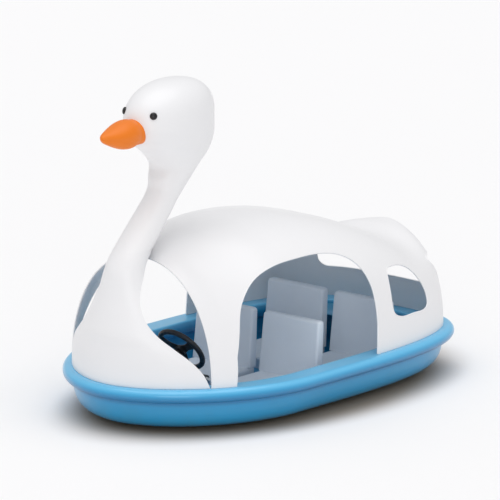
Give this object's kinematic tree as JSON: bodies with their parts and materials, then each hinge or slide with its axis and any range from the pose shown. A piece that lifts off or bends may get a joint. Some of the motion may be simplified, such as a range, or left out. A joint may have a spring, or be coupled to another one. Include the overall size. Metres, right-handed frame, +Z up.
{
  "type": "pedal boat",
  "caption": "Swan-shaped pedal boat: blue hull and bumper rim, white neck and open-sided canopy, moulded seats, pedal crank with paddle wheel, and wheel steering to a stern rudder.",
  "frame": {"origin": "on the ground, under the middle of the boat's box", "axes": "+Y aft, away from the swan's beak; +X to port; +Z up"},
  "size_m": [1.788, 2.964, 2.2205],
  "materials": {
    "hull_blue": "glossy gel coat",
    "swan_white": "glossy gel coat",
    "beak_orange": "satin",
    "eye_black": "polished",
    "seat_grey": "fine texture",
    "foam_cream": "closed-cell foam",
    "soft_black": "satin",
    "stainless_steel": "brushed",
    "galvanised_steel": "dull zinc",
    "nylon_white": "smooth",
    "seal_rubber": "matt",
    "paddle_grey": "moulded"
  },
  "bodies": {
    "boat": {"aft_deck": "hull_blue", "beak": "beak_orange", "bearing_bush_port_inner": "nylon_white", "bearing_bush_port_outer": "nylon_white", "bearing_bush_starboard_inner": "nylon_white", "bearing_bush_starboard_outer": "nylon_white", "bearing_stand_port_inner": "galvanised_steel", "bearing_stand_port_outer": "galvanised_steel", "bearing_stand_starboard_inner": "galvanised_steel", "bearing_stand_starboard_outer": "galvanised_steel", "bumper_rim": "hull_blue", "buoyancy_foam_front_port": "foam_cream", "buoyancy_foam_front_starboard": "foam_cream", "buoyancy_foam_rear_port": "foam_cream", "buoyancy_foam_rear_starboard": "foam_cream", "cable_bracket": "seat_grey", "cable_clip_1": "seat_grey", "cable_clip_2": "seat_grey", "cable_sleeve": "stainless_steel", "canopy": "swan_white", "cockpit_liner": "hull_blue", "drain_plug": "soft_black", "eye_port": "eye_black", "eye_starboard": "eye_black", "helm_housing": "soft_black", "hull_shell": "hull_blue", "keel_runner_port": "soft_black", "keel_runner_starboard": "soft_black", "paddle_cover": "hull_blue", "rudder_tube": "nylon_white", "seat_back_front_port": "seat_grey", "seat_back_front_starboard": "seat_grey", "seat_back_rear_port": "seat_grey", "seat_back_rear_starboard": "seat_grey", "seat_pan_front_port": "seat_grey", "seat_pan_front_starboard": "seat_grey", "seat_pan_rear_port": "seat_grey", "seat_pan_rear_starboard": "seat_grey", "shaft_seal_port": "seal_rubber", "shaft_seal_starboard": "seal_rubber", "steering_cable": "soft_black", "swan_body": "swan_white", "swan_head": "swan_white"},
    "crank": {"crankshaft": "stainless_steel", "paddle_wheel": "paddle_grey", "shaft_collar_port": "galvanised_steel", "shaft_collar_starboard": "galvanised_steel"},
    "pedal_port_outer": {"pedal_port_outer": "soft_black"},
    "pedal_port_inner": {"pedal_port_inner": "soft_black"},
    "pedal_starboard_inner": {"pedal_starboard_inner": "soft_black"},
    "pedal_starboard_outer": {"pedal_starboard_outer": "soft_black"},
    "steering": {"steering_wheel": "soft_black", "steering_cap": "seat_grey", "steering_shaft": "stainless_steel"},
    "rudder": {"rudder_blade": "hull_blue", "rudder_stock": "stainless_steel", "tiller_arm": "stainless_steel"},
    "rod": {"steering_rod": "stainless_steel"}
  },
  "joints": [
    {"name": "crank_turn", "type": "hinge", "parent": "boat", "child": "crank", "pos_m": [0, -0.88, 0.2], "axis": [1, 0, 0], "continuous": true},
    {"name": "pedal_port_outer_spin", "type": "hinge", "parent": "crank", "child": "pedal_port_outer", "pos_m": [0.345, -0.88, 0.31], "axis": [1, 0, 0], "continuous": true},
    {"name": "pedal_port_inner_spin", "type": "hinge", "parent": "crank", "child": "pedal_port_inner", "pos_m": [0.225, -0.88, 0.09], "axis": [1, 0, 0], "continuous": true},
    {"name": "pedal_starboard_inner_spin", "type": "hinge", "parent": "crank", "child": "pedal_starboard_inner", "pos_m": [-0.225, -0.88, 0.31], "axis": [1, 0, 0], "continuous": true},
    {"name": "pedal_starboard_outer_spin", "type": "hinge", "parent": "crank", "child": "pedal_starboard_outer", "pos_m": [-0.345, -0.88, 0.09], "axis": [1, 0, 0], "continuous": true},
    {"name": "steering_turn", "type": "hinge", "parent": "boat", "child": "steering", "pos_m": [0, -0.677, 0.4], "axis": [0, 0.8192, 0.5736], "range_deg": [-150, 150]},
    {"name": "rudder_turn", "type": "hinge", "parent": "boat", "child": "rudder", "pos_m": [0, 1.19, 0.1], "axis": [0, 0, 1], "range_deg": [-31, 31]},
    {"name": "rod_slide", "type": "slide", "parent": "boat", "child": "rod", "axis": [0, 1, 0], "range_m": [-0.053, 0.053]}
  ],
  "couplings": [
    {"joint": "rudder_turn", "follows": "steering_turn", "ratio": -0.2},
    {"joint": "rod_slide", "follows": "steering_turn", "m_per_rad": -0.019847}
  ]
}
